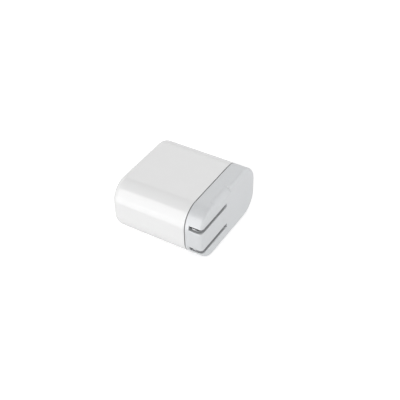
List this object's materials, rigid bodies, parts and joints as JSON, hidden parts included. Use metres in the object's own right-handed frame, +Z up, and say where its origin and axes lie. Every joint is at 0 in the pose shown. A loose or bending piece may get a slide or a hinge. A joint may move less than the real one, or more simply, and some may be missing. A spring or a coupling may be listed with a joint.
{
  "type": "usb wall charger",
  "caption": "Compact mains-to-USB charger: rounded glossy shell with socket end, and a grey cap whose flat plug blades fold away into slots.",
  "frame": {"origin": "under the middle of the charger, on the broad face that it rests on", "axes": "+Z up through the thickness, +X from the port end towards the prong face, +Y across the width, away from the folded blades' tips"},
  "size_m": [0.0512, 0.052, 0.0286],
  "materials": {
    "shell_white": "glossy moulded white plastic",
    "cap_grey": "satin moulded light silver-grey plastic",
    "blade_nickel": "nickel-plated brass strip",
    "rotor_plastic": "moulded dark glass-filled nylon",
    "retainer_plastic": "moulded natural nylon",
    "spring_bronze": "bare phosphor bronze strip",
    "spring_steel": "bare spring steel strip",
    "screw_steel": "zinc-plated steel",
    "board_green": "glass-epoxy board with green solder mask",
    "film_amber": "thin translucent insulating film",
    "port_steel": "nickel-plated folded steel",
    "port_plastic": "white moulded insulator",
    "contact_gold": "gold-plated strip",
    "ferrite": "sintered ferrite",
    "bobbin_plastic": "black moulded phenolic",
    "winding_tape": "yellow polyester tape over copper",
    "can_sleeve": "dark sleeve on an aluminium can",
    "fuse_brown": "brown moulded body",
    "disc_blue": "blue lacquered ceramic disc",
    "chip_black": "black moulded epoxy"
  },
  "bodies": {
    "charger": {"body_shell": "shell_white", "prong_cap": "cap_grey", "prong_retainer": "retainer_plastic", "retainer_screws": "screw_steel", "contact_spring_upper": "spring_bronze", "contact_spring_lower": "spring_bronze", "detent_spring": "spring_steel", "main_board": "board_green", "insulation_sheet": "film_amber", "usb_shell_left": "port_steel", "usb_shell_right": "port_steel", "usb_tongue_left": "port_plastic", "usb_tongue_right": "port_plastic", "usb_contacts_left": "contact_gold", "usb_contacts_right": "contact_gold", "transformer_core": "ferrite", "transformer_bobbin": "bobbin_plastic", "transformer_winding": "winding_tape", "bulk_capacitors": "can_sleeve", "output_capacitors": "can_sleeve", "fuse": "fuse_brown", "line_choke": "ferrite", "y_capacitor": "disc_blue", "bridge_rectifier": "chip_black", "optocoupler": "chip_black", "power_controller": "chip_black", "sync_rectifier": "chip_black", "usb_charge_chip": "chip_black", "small_parts": "chip_black"},
    "prongs": {"prong_rotor": "rotor_plastic", "prong_blade_upper": "blade_nickel", "prong_blade_lower": "blade_nickel"}
  },
  "joints": [
    {"name": "prong_fold", "type": "hinge", "parent": "charger", "child": "prongs", "pos_m": [0.02185, -0.0058, 0.0143], "axis": [0, 0, 1], "range_deg": [0, 90]}
  ]
}
